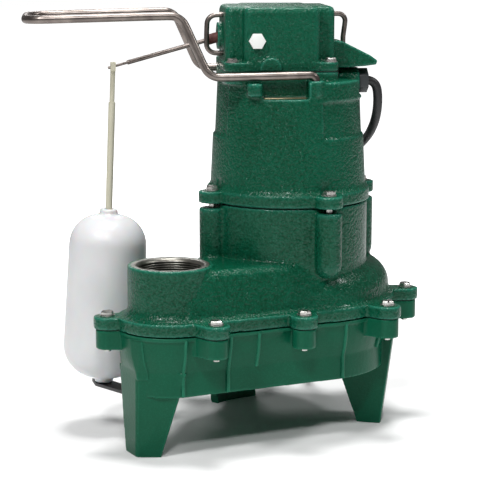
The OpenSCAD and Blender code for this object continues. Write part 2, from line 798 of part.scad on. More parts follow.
function tangents(p) = let (m = len(p) - 1)
    [for (i = [0:m]) unit(unit(p[min(i + 1, m)] - p[min(i, m - 1)])
                          + unit(p[max(i, 1)] - p[max(i - 1, 0)]))];

// Side directions carried along the path, so that the sweep doesn't twist
function carried(t, i, s) = let (now = unit(s - (s * t[i]) * t[i]))
    i == len(t) - 1 ? [now] : concat([now], carried(t, i + 1, now));

module swept_tube(p, r, n) {
    m = len(p);
    t = tangents(p);
    sides = carried(t, 0, cross(t[0], abs(t[0][2]) < 0.9 ? [0, 0, 1] : [0, 1, 0]));
    rings = [for (i = [0:m - 1]) let (up = cross(sides[i], t[i]))
        [for (k = [0:n - 1]) p[i] + r * cos(360 * k / n) * sides[i] + r * sin(360 * k / n) * up]];
    polyhedron(points = [for (q = rings, v = q) v], faces = concat(
        [[for (k = [0:n - 1]) k]], [[for (k = [n - 1:-1:0]) (m - 1) * n + k]],
        [for (i = [0:m - 2], k = [0:n - 1]) [i * n + k, (i + 1) * n + k, (i + 1) * n + (k + 1) % n,
                                             i * n + (k + 1) % n]]));
}

module bent_rod(p, r, d) { swept_tube(bent_path(p, r), d / 2, rod_sides); }

handle_peg = 12;
handle_foot_x = -81.5;
handle_rise = 25;
handle_sag = 3.5;

module handle() {
    y = handle_w / 2;
    side = [[handle_x, y, handle_low_z - handle_peg + 0.2], [handle_x, y, handle_low_z],
            [handle_foot_x, y, handle_low_z - 2], [handle_foot_x - handle_rise, grip_w / 2, handle_z],
            [-handle_reach, grip_w / 2, handle_z - handle_sag]];
    near = [for (i = [len(side) - 1:-1:0]) [side[i][0], -side[i][1], side[i][2]]];
    color(steel) cap_frame()
        bent_rod(concat(side, near), [0, 6, 16, 16, handle_tip_r, handle_tip_r, 16, 16, 6, 0], handle_d);
}

guard_reach = 79;

module left_guard() {
    color(steel) cap_frame() translate([0, guard_y, 0]) bent_rod([[cap_end_x() + guard_in - 1, 0, guard_zs[0]],
        [-guard_reach, 0, guard_zs[0] - 0.5], [-guard_reach - 1, 0, guard_zs[1]],
        [cap_end_x() + guard_in - 1, 0, guard_zs[1]]], [0, 9, 9, 0], guard_d);
}

module right_guard() {
    color(steel) cap_frame() bent_rod([[cap_end - cap_dx - guard_in + 1, 0, guard_zs[0]],
        [guard_foot_x + 3, 0, guard_zs[0]], [guard_foot_x, 0, cap_z + hood_h + 2],
        [guard_foot_x, 0, cap_z + hood_h - 11]], [0, 7, 20, 0], guard_d);
}

// The float switch. The arm turns in the cap's wall and lifts with the float's stem.

arm_l = (arm_reach + pivot_x) / cos(arm_drop);
arm_tail = 12;

module arm_frame() {
    cap_frame() translate([pivot_x, 0, pivot_z]) rotate([0, 180 - arm_drop, 0]) children();
}

// Along the arm, x runs from the pivot to the eye

module float_arm() {
    color(steel) arm_frame() difference() {
        union() {
            rotate([0, 90, 0]) cylinder(h = arm_l - 14, d = arm_d);
            translate([arm_l - 14 - eps, 0, 0]) rotate([0, 90, 0]) cylinder(h = 19, d = arm_tip_d);
            rotate([0, 90, 0]) translate([0, 0, -arm_tail]) cylinder(h = arm_tail + eps, d = arm_d);
            rotate([90, 0, 0]) cylinder(h = 3, r = 3.4, center = true);
        }
        rotate([90, 0, 0]) cylinder(h = 20, r = pin_r + 0.05, center = true, $fn = 24);
    }
}

module arm_boot() {
    color([0.3, 0.12, 0.1]) arm_frame() difference() {
        union() {
            sphere(r = ball_r, $fn = 48);
            rotate([0, 90, 0]) cylinder(h = 16, r = boot_r);
        }
        rotate([0, 90, 0]) translate([0, 0, -20]) cylinder(h = 60, d = arm_d);
        rotate([90, 0, 0]) cylinder(h = 3, r = 3.4, center = true);
        rotate([90, 0, 0]) cylinder(h = 40, r = pin_r + 0.05, center = true, $fn = 24);
    }
}

module pivot_pin() {
    color(steel) cap_frame() translate([pivot_x, 0, pivot_z]) rotate([90, 0, 0])
        cylinder(h = pin_l, r = pin_r, center = true, $fn = 24);
}

eye_t = 5;
eye_w = 11;
eye_hole_r = 3;
collar_h = 6;

module stem_frame() {
    cap_frame() translate([-arm_reach, 0, eye_z]) rotate([0, stem_lean, 0]) children();
}

eye_z = pivot_z - arm_l * sin(arm_drop);
float_top_z = float_z + 5.5 + float_l + collar_h - eye_z;

module float_stem() {
    color([0.8, 0.78, 0.66]) stem_frame() difference() {
        union() {
            translate([-eye_t / 2, -eye_w / 2, -4]) cube([eye_t, eye_w, 8.5]);
            translate([0, 0, -34]) cylinder(h = 34, d = 4.8);
            translate([0, 0, float_top_z - 30]) cylinder(h = -34 - float_top_z + 30, d = stem_d);
        }
        rotate([0, 90, 0]) cylinder(h = 20, r = eye_hole_r, center = true, $fn = 32);
    }
}

function arc_points(cx, cz, rx, rz, a0, a1, n) = [for (i = [0:n]) let (a = a0 + (a1 - a0) * i / n)
    [cx + rx * cos(a), cz + rz * sin(a)]];

neck_r = 9.2;
float_collar_r = 8.8;

module float_body() {
    low = float_top_z - collar_h - float_l;
    color([0.92, 0.93, 0.93]) stem_frame() difference() {
        rotate_extrude() polygon(concat([[0, low - 5.5], [neck_r, low - 5.5]],
            arc_points(neck_r, low + 31, float_r - neck_r, 31, -90, 0, 9),
            arc_points(float_collar_r, low + float_l - 30, float_top_r - float_collar_r, 30, 0, 90, 9),
            [[float_collar_r, float_top_z], [0, float_top_z]]));
        translate([0, 0, float_top_z - 30]) cylinder(h = 40, d = stem_d);
        translate([0, 0, low - 6]) cylinder(h = float_travel + 24, r = guide_pin_r + loose);
    }
}

guide_pin_r = 4;
guide_t = 3;
guide_w = 18;
// Where the guide is screwed to the underside of the base
guide_foot = lobe + [-6, 24];
float_neck_z = float_top_z - collar_h - float_l - 5.5;
guide_top = eye_z + float_neck_z * cos(stem_lean) - neck_r * sin(stem_lean) - 0.3;
float_foot = turn([-arm_reach + float_neck_z * sin(stem_lean), 0], cap_turn);

module float_guide() {
    away = unit(float_foot - guide_foot);
    reach = norm(float_foot - guide_foot);
    color(black) {
        at_axis() {
            translate([guide_foot[0], guide_foot[1], guide_top - guide_t])
                rotate([0, 0, atan2(away[1], away[0])]) difference() {
                    union() {
                        linear_extrude(guide_t) polygon([[-guide_w / 2, -guide_w / 2],
                            [reach + 2, -guide_w / 2], [reach + 19, 0], [reach + 2, guide_w / 2],
                            [-guide_w / 2, guide_w / 2]]);
                        translate([-guide_w / 2, -guide_w / 2, 0])
                            cube([guide_w, guide_w, floor_z - guide_top + guide_t]);
                    }
                    translate([0, 0, -1]) cylinder(h = 40, r = screw_r + hole_clear, $fn = 24);
                }
        }
        stem_frame() translate([0, 0, float_neck_z - guide_t])
            cylinder(h = float_travel + 16 + guide_t, r = guide_pin_r);
    }
}

module guide_screw() {
    color(steel) at_axis() translate([guide_foot[0], guide_foot[1], guide_top - guide_t])
        rotate([180, 0, 0]) slotted_bolt(floor_z - guide_top + guide_t + floor_t - 1, screw_r, 9, 4);
}

// The cord, its gland, coil and plug

gland_thread_r = 7;
gland_af = 21;
gland_l = 9;

module cord_gland() {
    color(black) cap_frame() translate([gland_boss_x, 0, gland_z]) rotate([0, 90, 0]) difference() {
        union() {
            cylinder(h = gland_l, d = gland_af / cos(30), $fn = 6);
            translate([0, 0, -12]) cylinder(h = 12 + eps, r = gland_thread_r);
        }
        translate([0, 0, -20]) cylinder(h = 40, d = cord_d + 2 * hole_clear);
    }
}

// The cord's route from the gland to the coil, from the motor's axis
cord_route = [[66.3, -25.4, 339.8], [72, -27.6, 339.8], [76, -29.1, 339], [80, -30.5, 335.5],
              [82, -30.7, 329], [83, -30, 318], [83.5, -27, 306], [84.5, -20, 295], [87, -6, 283],
              [88, 12, 272], [85, 34, 256], [80, 56, 236], [77, 75, 210], [76.5, 89, 182],
              [78, 98, 152], [80, 101.5, 125], [81.5, 103, 98], [83.5, 106, 72], [87.5, 113, 50],
              [93, 126, 36], [98, 147, 31.9], [101, 172, 31.5]];
coil_at = [40, 201];
// Turns of cord side by side and on top of each other in the coil
coil_wide = 3;
coil_high = 4;
coil_out = coil_r + coil_wide * cord_d / 2;

module cord_coil() {
    color(black) at_axis() translate([coil_at[0], coil_at[1], 0]) rotate_extrude()
        translate([coil_r - coil_wide * cord_d / 2, 0]) square([coil_wide * cord_d, coil_high * cord_d]);
}

module cord() {
    color(black) at_axis() swept_tube(cord_route, cord_d / 2, 8);
}

plug_l = 30;
plug_w = 28;
plug_h = 25;
plug_lift = 0.5;
relief_l = 23;
relief_r = 5.5;

// The plug lies behind the coil, where the cord's end comes out of its outer turn
module cord_plug() {
    color(black) at_axis() translate([coil_at[0] - 55, coil_at[1] + coil_out - 5, plug_lift + plug_h / 2])
        rotate([0, 0, 180]) {
            translate([0, -plug_w / 2, -plug_h / 2]) cube([plug_l, plug_w, plug_h]);
            translate([-relief_l, 0, 0]) rotate([0, 90, 0])
                cylinder(h = relief_l + eps, r1 = relief_r, r2 = 9);
            for (y = [-6.35, 6.35]) translate([plug_l - eps, y - 0.75, -3]) cube([16, 1.5, 6.3]);
            translate([plug_l - eps, 0, -8]) rotate([0, 90, 0]) cylinder(h = 18, r = 2.4);
        }
}

// The motor

stack_z = 246;
winding_h = 13;
winding_clear = 0.5;
stack_l = pocket_z - wall - winding_clear - winding_h - stack_z;

module stator_core() {
    color(steel) at_axis() ring(stack_z, stack_l, rotor_r + air_gap, housing_bore_r);
}

module upper_winding() {
    color([0.6, 0.3, 0.15]) at_axis()
        ring(stack_z + stack_l, winding_h, rotor_r + 5, housing_bore_r - 7);
}

module lower_winding() {
    color([0.6, 0.3, 0.15]) at_axis() ring(stack_z - winding_h, winding_h, rotor_r + 5, housing_bore_r - 7);
}

module rotor_core() {
    color(steel) at_axis() ring(stack_z - 1, stack_l + 2, shaft_r, rotor_r);
}

impeller_top = 142;
disc_t = 6;
hub_low = impeller_top - disc_t - vane_h + 4;
shaft_top = housing_top - 1;
stud_r = 5;
nut_h = 5;

module shaft() {
    color(steel) at_axis() {
        translate([0, 0, hub_low + 2]) cylinder(h = shaft_top - hub_low - 2, r = shaft_r);
        translate([0, 0, hub_low - nut_h - 1]) cylinder(h = nut_h + 4, r = stud_r);
    }
}

hub_r = 15;

// One curved vane: part of a ring whose centre lies off the axis
module vane() {
    bow = impeller_r * 0.62;
    intersection() {
        translate([impeller_r * 0.45, -bow * 0.55]) difference() {
            circle(r = bow + vane_t / 2);
            circle(r = bow - vane_t / 2);
        }
        difference() {
            circle(r = impeller_r - 1);
            circle(r = hub_r - 4);
        }
        translate([0, -2]) square([impeller_r, impeller_r]);
    }
}

module impeller() {
    color([0.45, 0.45, 0.45]) at_axis() difference() {
        union() {
            translate([0, 0, impeller_top - disc_t]) cylinder(h = disc_t, r = impeller_r);
            translate([0, 0, hub_low]) cylinder(h = impeller_top - hub_low, r = hub_r);
            for (i = [0:vane_count - 1]) rotate([0, 0, 360 * i / vane_count])
                translate([0, 0, impeller_top - disc_t - vane_h]) linear_extrude(vane_h + 1) vane();
        }
        translate([0, 0, hub_low + 2]) cylinder(h = total_h, r = shaft_r);
        translate([0, 0, hub_low - 1]) cylinder(h = 4, r = stud_r);
    }
}

module impeller_nut() {
    color(steel) at_axis() translate([0, 0, hub_low - nut_h]) difference() {
        cylinder(h = nut_h, d = 18, $fn = 6);
        translate([0, 0, -1]) cylinder(h = nut_h + 2, r = stud_r);
    }
}

// The switch inside the cap: the arm's tail presses its plunger

plunger_r = 1.5;
plunger_from_pivot = 10;
plunger_gap = 0.3;
plunger_travel = 6;
plunger_stand = 0.9;
switch_size = [24, 16, 14];
switch_floor = 2;
// The plunger's round end stays a gap below the tail
plunger_z = pivot_z + plunger_from_pivot * tan(arm_drop)
            - (arm_d / 2 + plunger_r + plunger_gap) / cos(arm_drop);
switch_top = plunger_z + plunger_r - plunger_travel - plunger_stand;
// Pressed right in, the plunger still clears the floor of its bore
plunger_l = plunger_z - plunger_travel - plunger_gap - (switch_top - switch_size[2] + switch_floor);

module switch_body() {
    color([0.2, 0.2, 0.25]) cap_frame() difference() {
        translate([cap_end_x() + cap_wall, -switch_size[1] / 2, switch_top - switch_size[2]])
            cube(switch_size);
        translate([pivot_x + plunger_from_pivot, 0, switch_top - switch_size[2] + switch_floor])
            cylinder(h = switch_size[2], r = plunger_r + 0.05);
    }
}

module switch_plunger() {
    color([0.7, 0.2, 0.1]) cap_frame() translate([pivot_x + plunger_from_pivot, 0, plunger_z]) {
        sphere(r = plunger_r, $fn = 32);
        translate([0, 0, -plunger_l]) cylinder(h = plunger_l, r = plunger_r, $fn = 32);
    }
}

base_casting();
volute_gasket();
volute_casting();
motor_gasket();
motor_housing();
cap_gasket();
switch_cap();
volute_bolts();
motor_bolts();
cap_screws();
handle();
left_guard();
right_guard();
vent_plug();
rating_plate();
arm_boot();
float_arm();
pivot_pin();
float_stem();
float_body();
float_guide();
guide_screw();
cord_gland();
cord();
cord_coil();
cord_plug();
stator_core();
upper_winding();
lower_winding();
rotor_core();
shaft();
impeller();
impeller_nut();
upper_bearing();
lower_bearing();
seal_seat();
seal_head();
switch_body();
switch_plunger();
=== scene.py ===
import json
import math
import bmesh
import bpy
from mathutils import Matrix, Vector

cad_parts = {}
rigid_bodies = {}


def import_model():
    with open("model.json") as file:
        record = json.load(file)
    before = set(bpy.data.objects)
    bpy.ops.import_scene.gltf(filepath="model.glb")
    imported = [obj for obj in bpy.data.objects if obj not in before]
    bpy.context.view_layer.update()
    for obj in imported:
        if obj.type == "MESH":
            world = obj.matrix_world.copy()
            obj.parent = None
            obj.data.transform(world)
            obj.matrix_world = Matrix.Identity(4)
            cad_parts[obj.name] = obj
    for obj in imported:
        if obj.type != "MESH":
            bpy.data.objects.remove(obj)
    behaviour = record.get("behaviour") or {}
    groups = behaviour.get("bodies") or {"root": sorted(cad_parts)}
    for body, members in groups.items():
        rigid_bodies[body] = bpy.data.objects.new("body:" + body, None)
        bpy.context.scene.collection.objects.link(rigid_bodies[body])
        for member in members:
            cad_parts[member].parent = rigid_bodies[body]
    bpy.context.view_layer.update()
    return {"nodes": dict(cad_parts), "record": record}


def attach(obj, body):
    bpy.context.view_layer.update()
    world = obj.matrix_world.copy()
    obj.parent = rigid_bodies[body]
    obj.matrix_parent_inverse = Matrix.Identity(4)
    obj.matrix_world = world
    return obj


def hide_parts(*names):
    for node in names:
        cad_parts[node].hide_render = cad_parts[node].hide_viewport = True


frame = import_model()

nodes = frame["nodes"]
mm = 0.001

# The motor's axis in the row frame, read from the shaft, and the switch cap's turn about it
shaftPoints = [v.co for v in nodes["shaft"].data.vertices]
axisAt = Vector([(min(p[i] for p in shaftPoints) + max(p[i] for p in shaftPoints)) / 2
                 for i in (0, 1)] + [0])
capTurn = math.radians(-21)


def casingPoint(x, y, z):  # millimetres from the motor's axis
    return axisAt + Vector((x, y, z)) * mm


def capPoint(x, y, z):  # millimetres in the cap's own turned frame
    c, s = math.cos(capTurn), math.sin(capTurn)
    return casingPoint(x * c - y * s, x * s + y * c, z)


def makeObject(name, data):
    obj = bpy.data.objects.new(name, data)
    bpy.context.scene.collection.objects.link(obj)
    return obj


# Camera: fitted to the photograph's straight edges, angles in degrees
camera = {"at": casingPoint(-813.0, -1510.5, 484.65), "down": 10.27, "turn": -26.82, "lens": 127.9,
          "sensorHigh": 36, "seesTo": 20}


def placeCamera(c):
    data = bpy.data.cameras.new("camera")
    data.sensor_fit = "VERTICAL"
    data.sensor_height = c["sensorHigh"]
    data.lens = c["lens"]
    data.clip_end = c["seesTo"]
    obj = makeObject("camera", data)
    obj.location = c["at"]
    obj.rotation_euler = (math.radians(90 - c["down"]), 0, math.radians(c["turn"]))
    bpy.context.scene.camera = obj


placeCamera(camera)
print("camera placed")


# Shader recipes: numbers and sockets in one expression

class Wire:  # a socket that can stand in a sum
    def __init__(self, graph, socket):
        self.graph, self.socket = graph, socket

    def op(self, kind, other):
        return self.graph.node("ShaderNodeMath", {"operation": kind}, {0: self, 1: other})

    def __add__(self, o): return self.op("ADD", o)
    def __radd__(self, o): return self.op("ADD", o)
    def __sub__(self, o): return self.op("SUBTRACT", o)
    def __mul__(self, o): return self.op("MULTIPLY", o)
    def __rmul__(self, o): return self.op("MULTIPLY", o)
    def __truediv__(self, o): return self.op("DIVIDE", o)


class Graph:  # makes nodes in one tree
    def node(self, kind, settings=None, values=None, out=0):
        made = self.tree.nodes.new(kind)
        for key, value in (settings or {}).items():
            setattr(made, key, value)
        for key, value in (values or {}).items():
            for v in value if isinstance(value, list) else [value]:
                if isinstance(v, Wire):
                    self.tree.links.new(v.socket, made.inputs[key])
                else:
                    made.inputs[key].default_value = v
        return Wire(self, made.outputs[out])


class Recipe(Graph):
    def __init__(self, name):
        self.material = bpy.data.materials.new(name)
        self.material.use_nodes = True
        self.tree = self.material.node_tree
        self.tree.nodes.clear()
        self.shader = self.tree.nodes.new("ShaderNodeBsdfPrincipled")
        out = self.tree.nodes.new("ShaderNodeOutputMaterial")
        self.tree.links.new(self.shader.outputs[0], out.inputs[0])

    def place(self):
        return self.node("ShaderNodeTexCoord", out=3)

    def noise(self, scale, detail=2.0, rough=0.5, at=None):
        return self.node("ShaderNodeTexNoise", {}, {"Vector": at or self.place(), "Scale": scale,
                                                    "Detail": detail, "Roughness": rough})

    def stretched(self, x, y, z):
        return self.node("ShaderNodeVectorMath", {"operation": "MULTIPLY"},
                         {0: self.place(), 1: (x, y, z)})

    def blend(self, mask, under, colour):  # what lies under is a colour or a wire
        if not isinstance(under, Wire):
            under = (*under, 1)
        return self.node("ShaderNodeMix", {"data_type": "RGBA"},
                         {0: mask, 6: under, 7: (*colour, 1)}, 2)

    def bump(self, height, strength, distance, under=None):
        values = {"Height": height, "Strength": strength, "Distance": distance}
        if under:
            values["Normal"] = under
        return self.node("ShaderNodeBump", {}, values)

    def set(self, **values):
        for key, value in values.items():
            self.shader.inputs[key.replace("_", " ")].default_value = value

    def feed(self, **wires):
        for key, wire in wires.items():
            self.tree.links.new(wire.socket, self.shader.inputs[key.replace("_", " ")])


def ramp(recipe, wire, low, high):
    return recipe.node("ShaderNodeMapRange", {}, {0: wire, 1: low, 2: high})


# Green paint with a pebbled skin, for the castings, with painted highlights on crests, glints and edges
# and painted shade in creases. Noise scales are parts of the peel's own scale, and each pair says where
# a mask begins and where it is full
paintMix = {"cellSmooth": 0.7, "blobScale": 0.6, "blobs": 0.9, "cells": 0.6, "grainScale": 2.7,
            "glintScale": 1.3, "broadNoise": (9, 3, 0.55), "crest": (-0.05, 0.45), "broad": (0.3, 0.7),
            "glint": (0.53, 0.68), "edge": (0.505, 0.56), "corner": (0.49, 0.43), "broadRough": 0.16,
            "grainRough": 0.1, "smoother": 0.1, "grainHeight": 0.0002, "coatRough": 0.1}


def castPaint(name, p):
    r, m = Recipe(name), paintMix
    cells = r.node("ShaderNodeTexVoronoi", {"feature": "SMOOTH_F1"},
                   {"Vector": r.place(), "Scale": p["peelScale"], "Smoothness": m["cellSmooth"],
                    "Randomness": 1.0})
    peel = r.noise(p["peelScale"] * m["blobScale"]) * m["blobs"] - cells * m["cells"]
    grain = r.noise(p["peelScale"] * m["grainScale"])
    broad = r.noise(*m["broadNoise"])
    crest = ramp(r, peel, *m["crest"])
    # painted light and shade: the peel's crests lighter and its pits darker in the colour, shared with
    # a random broad tone
    crestLightAndTone = crest * p["crestLightShare"] + ramp(r, broad, *m["broad"]) * (1 - p["crestLightShare"])
    # painted glints: small random spots lightened towards the lighter colour
    glints = ramp(r, r.noise(p["peelScale"] * m["glintScale"], 1), *m["glint"])
    pointed = r.node("ShaderNodeNewGeometry", out=7)  # above a half on edges, below it in corners
    # painted highlight: pointed edges lightened towards the lighter colour
    edges = ramp(r, pointed, *m["edge"])
    # painted shade: creases and corners darkened towards the deep colour
    corners = ramp(r, pointed, *m["corner"])
    paint = r.blend(crestLightAndTone, p["deep"], p["light"])
    paint = r.blend(glints * p["glint"], paint, p["paintedHighlight"])
    paint = r.blend(edges * p["edge"], paint, p["paintedHighlight"])
    r.feed(Base_Color=r.blend(corners * p["corner"], paint, p["deep"]))
    r.feed(Roughness=p["rough"] + m["broadRough"] * broad + m["grainRough"] * grain - m["smoother"])
    if p["coat"]:
        r.feed(Coat_Weight=crest * p["coat"])
        r.set(Coat_Roughness=m["coatRough"])
    wide = r.bump(peel, p["peel"], p["peelHeight"])
    r.feed(Normal=r.bump(grain, p["grain"], m["grainHeight"], wide))
    r.set(Specular_IOR_Level=p["shine"])
    return r.material


metalMix = {"streakNoise": (60, 3, 0.6), "spotNoise": (3, 0.55), "spotMask": (0.35, 0.7),
            "streakRough": 0.18, "smoother": 0.07, "height": 0.0002}


def metal(name, p):
    r, m = Recipe(name), metalMix
    streaks = r.noise(*m["streakNoise"], r.stretched(*p["stretch"]))
    spots = r.noise(p["spots"], *m["spotNoise"])
    r.feed(Base_Color=r.blend(ramp(r, spots, *m["spotMask"]), p["dark"], p["light"]))
    r.feed(Roughness=p["rough"] + m["streakRough"] * streaks - m["smoother"])
    r.feed(Normal=r.bump(streaks, p["bump"], m["height"]))
    r.set(Metallic=p.get("metallic", 1.0))
    return r.material


plasticMix = {"grainScale": 900, "broadNoise": (14, 3, 0.5), "broadMask": (0.3, 0.7),
              "grainRough": 0.12, "bump": 0.15, "height": 0.00015}


def plastic(name, given):
    r, p = Recipe(name), {**plasticMix, **given}
    fine = r.noise(p["grainScale"])
    broad = r.noise(*p["broadNoise"])
    r.feed(Base_Color=r.blend(ramp(r, broad, *p["broadMask"]), p["dark"], p["light"]))
    r.feed(Roughness=p["rough"] + p["grainRough"] * fine)
    r.feed(Normal=r.bump(fine, p["bump"], p["height"]))
    r.set(**p.get("set", {}))
    return r.material


# In each paint the lighter colour serves the painted glints and painted edge highlights, the deep
# colour also the painted shade in creases, and the crest share sets the painted light on the peel's
# crests
paints = {
    "castingPaint": {"deep": (0.0002, 0.036, 0.014), "light": (0.0018, 0.1, 0.052), "rough": 0.24,
                     "peelScale": 520, "peel": 1.0, "peelHeight": 0.001, "grain": 0.2, "coat": 0.25,
                     "shine": 0.19, "crestLightShare": 0.5, "paintedHighlight": (0.025, 0.19, 0.13), "glint": 0.14,
                     "edge": 0.8, "corner": 0.7},
    "basePaint": {"deep": (0.001, 0.066, 0.032), "light": (0.003, 0.088, 0.045), "rough": 0.3,
                  "peelScale": 520, "peel": 0.3, "peelHeight": 0.0004, "grain": 0.15, "coat": 0.0,
                  "shine": 0.14, "crestLightShare": 0.3, "paintedHighlight": (0.02, 0.19, 0.11), "glint": 0.08,
                  "edge": 0.55, "corner": 0.7},
}
metals = {
    "rodSteel": {"dark": (0.13, 0.11, 0.1), "light": (0.27, 0.235, 0.215), "rough": 0.33,
                 "stretch": (0.3, 0.3, 3), "spots": 45, "bump": 0.12},
    "boltSteel": {"dark": (0.42, 0.41, 0.39), "light": (0.68, 0.67, 0.64), "rough": 0.26,
                  "stretch": (3, 3, 1), "spots": 160, "bump": 0.15},
    "rimIron": {"dark": (0.12, 0.115, 0.1), "light": (0.27, 0.26, 0.235), "rough": 0.36,
                "stretch": (1, 1, 14), "spots": 70, "bump": 0.2},
    "tagMetal": {"dark": (0.4, 0.31, 0.17), "light": (0.62, 0.52, 0.33), "rough": 0.33,
                 "stretch": (8, 1, 1), "spots": 90, "bump": 0.2},
    "coreSteel": {"dark": (0.14, 0.14, 0.14), "light": (0.26, 0.26, 0.26), "rough": 0.4,
                  "stretch": (1, 1, 12), "spots": 60, "bump": 0.25},
    "copperWire": {"dark": (0.42, 0.16, 0.07), "light": (0.68, 0.3, 0.15), "rough": 0.32,
                   "stretch": (9, 9, 1), "spots": 110, "bump": 0.3},
    "impellerIron": {"dark": (0.075, 0.075, 0.075), "light": (0.14, 0.14, 0.14), "rough": 0.5,
                     "stretch": (2, 2, 2), "spots": 120, "bump": 0.5, "metallic": 0.7},
}
plastics = {
    "floatPlastic": {"dark": (0.6, 0.605, 0.62), "light": (0.69, 0.695, 0.7), "rough": 0.3,
                     "grainScale": 300, "bump": 0.08,
                     "set": {"Subsurface_Weight": 0.25, "Subsurface_Scale": 0.01, "Coat_Weight": 0.1}},
    "stemPlastic": {"dark": (0.5, 0.48, 0.37), "light": (0.62, 0.6, 0.48), "rough": 0.38},
    "whitePlastic": {"dark": (0.76, 0.77, 0.75), "light": (0.85, 0.86, 0.84), "rough": 0.3},
    "blackPlastic": {"dark": (0.012, 0.012, 0.012), "light": (0.022, 0.022, 0.022), "rough": 0.4},
    "glandPlastic": {"dark": (0.02, 0.024, 0.026), "light": (0.04, 0.045, 0.048), "rough": 0.35},
    "bootRubber": {"dark": (0.06, 0.012, 0.009), "light": (0.1, 0.022, 0.016), "rough": 0.5,
                   "grainScale": 1400, "bump": 0.3},
    "cordRubber": {"dark": (0.009, 0.009, 0.01), "light": (0.017, 0.017, 0.018), "rough": 0.42,
                   "grainScale": 1600, "bump": 0.25},
    "gasketRubber": {"dark": (0.003, 0.02, 0.012), "light": (0.008, 0.036, 0.022), "rough": 0.6},
    "sealCeramic": {"dark": (0.62, 0.58, 0.5), "light": (0.72, 0.69, 0.62), "rough": 0.25},
    "switchPlastic": {"dark": (0.015, 0.015, 0.022), "light": (0.03, 0.03, 0.04), "rough": 0.42},
}
finish = {name: castPaint(name, p) for name, p in paints.items()}
finish.update({name: metal(name, p) for name, p in metals.items()})
finish.update({name: plastic(name, p) for name, p in plastics.items()})
print("materials made")


# Shared steps

def smoothShade(mesh, angle):
    b = bmesh.new()
    b.from_mesh(mesh)
    for f in b.faces:
        f.smooth = True
    for e in b.edges:
        e.smooth = len(e.link_faces) == 2 and e.calc_face_angle(0) < math.radians(angle)
    b.to_mesh(mesh)
    b.free()


weldWithin = 2e-6


def mergedCopy(node):
    mesh = nodes[node].data.copy()
    b = bmesh.new()
    b.from_mesh(mesh)
    bmesh.ops.remove_doubles(b, verts=b.verts, dist=weldWithin)
    b.to_mesh(mesh)
    b.free()
    return mesh


def evaluated(obj):  # the modifiers' result as a plain mesh
    graph = bpy.context.evaluated_depsgraph_get()
    mesh = bpy.data.meshes.new_from_object(obj.evaluated_get(graph), depsgraph=graph)
    obj.modifiers.clear()
    old = obj.data
    obj.data = mesh
    if old.users == 0:
        bpy.data.meshes.remove(old)
    return obj


def bevelled(obj, width, segments):
    bevel = obj.modifiers.new("bevel", "BEVEL")
    bevel.width, bevel.segments, bevel.limit_method = width * mm, segments, "ANGLE"
    evaluated(obj)


def dress(obj, body, slot, materials, *replaced):
    if materials:
        obj.data.materials.clear()
        for m in materials:
            obj.data.materials.append(finish[m])
    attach(obj, body)
    if replaced:
        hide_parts(*replaced)


# Cord: from the gland, down behind the pump, into a flat coil with its plug

cordFacts = {"diameter": 9 * mm, "apart": 9, "coilR": 53, "wide": 3, "high": 4, "coilAt": (40, 201),
             "stepsATurn": 36, "stepsMore": 10,
             "route": [(66.3, -25.4, 339.8), (72, -27.6, 339.8), (76, -29.1, 339), (80, -30.5, 335.5),
                       (82, -30.7, 329), (83, -30, 318), (83.5, -27, 306), (84.5, -20, 295),
                       (87, -6, 283), (88, 12, 272), (85, 34, 256), (80, 56, 236), (77, 75, 210),
                       (76.5, 89, 182), (78, 98, 152), (80, 101.5, 125), (81.5, 103, 98),
                       (83.5, 106, 72), (87.5, 113, 50), (93, 126, 36), (98, 147, 31.9),
                       (101, 172, 31.5)],
             "plugRoute": [(33, 262.9, 4.6), (24, 262.8, 6.2), (16, 262.6, 10), (8, 262.5, 12.8),
                           (4, 262.5, 13)]}


def coilPoints(c):  # layer on layer, each wound the other way across from the one under it
    d = c["apart"]
    points = []
    turns = c["wide"] * c["high"]
    for i in range(turns * c["stepsATurn"] + c["stepsMore"]):
        turn = i / c["stepsATurn"]
        layer = min(int(turn // c["wide"]), c["high"] - 1)
        along = turn - layer * c["wide"]  # turns done on this layer
        step = min(along, c["wide"] - 1)
        inward = layer % 2 == 0
        rest = max(along - (c["wide"] - 1), 0)
        r = c["coilR"] + d * (c["wide"] - 1) / 2 - d * (step if inward else c["wide"] - 1 - step)
        z = d * (c["high"] - 0.5 - layer - (rest if layer < c["high"] - 1 else 0))
        a = 2 * math.pi * turn
        x, y = c["coilAt"]
        points.append(casingPoint(x + r * math.cos(a), y + r * math.sin(a), z))
    return points


def smoothCurve(points, rounds):  # cuts each corner off at a quarter of its sides
    for _ in range(rounds):
        out = [points[0]]
        for a, b in zip(points, points[1:]):
            out += [a * 0.75 + b * 0.25, a * 0.25 + b * 0.75]
        points = out + [points[-1]]
    return points


def makeCord(c):
    coil = coilPoints(c)
    last, before = coil[-1], coil[-2]
    onward = (last - before).normalized()
    tail = [casingPoint(*p) for p in c["plugRoute"]]
    route = smoothCurve([casingPoint(*p) for p in c["route"]] + coil[:1], 2)
    points = route + coil[1:] + smoothCurve([last] + tail, 2)[1:]
    length = sum((b - a).length for a, b in zip(points, points[1:]))
    curve = bpy.data.curves.new("powerCord", "CURVE")
    curve.dimensions = "3D"
    curve.bevel_depth = c["diameter"] / 2
    curve.bevel_resolution = 3
    curve.use_fill_caps = True
    spline = curve.splines.new("POLY")
    spline.points.add(len(points) - 1)
    for p, q in zip(spline.points, points):
        p.co = (*q, 1)
    curve.materials.append(finish["cordRubber"])
    obj = makeObject("powerCord", curve)
    return obj, length, points[0]


cordObject, cordLength, cordExit = makeCord(cordFacts)
print("cord length", round(cordLength, 3))

cordBody = "pump"
plug = makeObject("powerPlug", mergedCopy("cord_plug"))
bevelled(plug, width=1.6, segments=3)
smoothShade(plug.data, angle=40)
dress(plug, cordBody, "cord_jacket", ["cordRubber"], "cord_plug")
dress(cordObject, cordBody, "cord_jacket", None, "cord", "cord_coil")
print("cord laid")


# Castings: softened copies of the solids, as cast iron comes out of sand

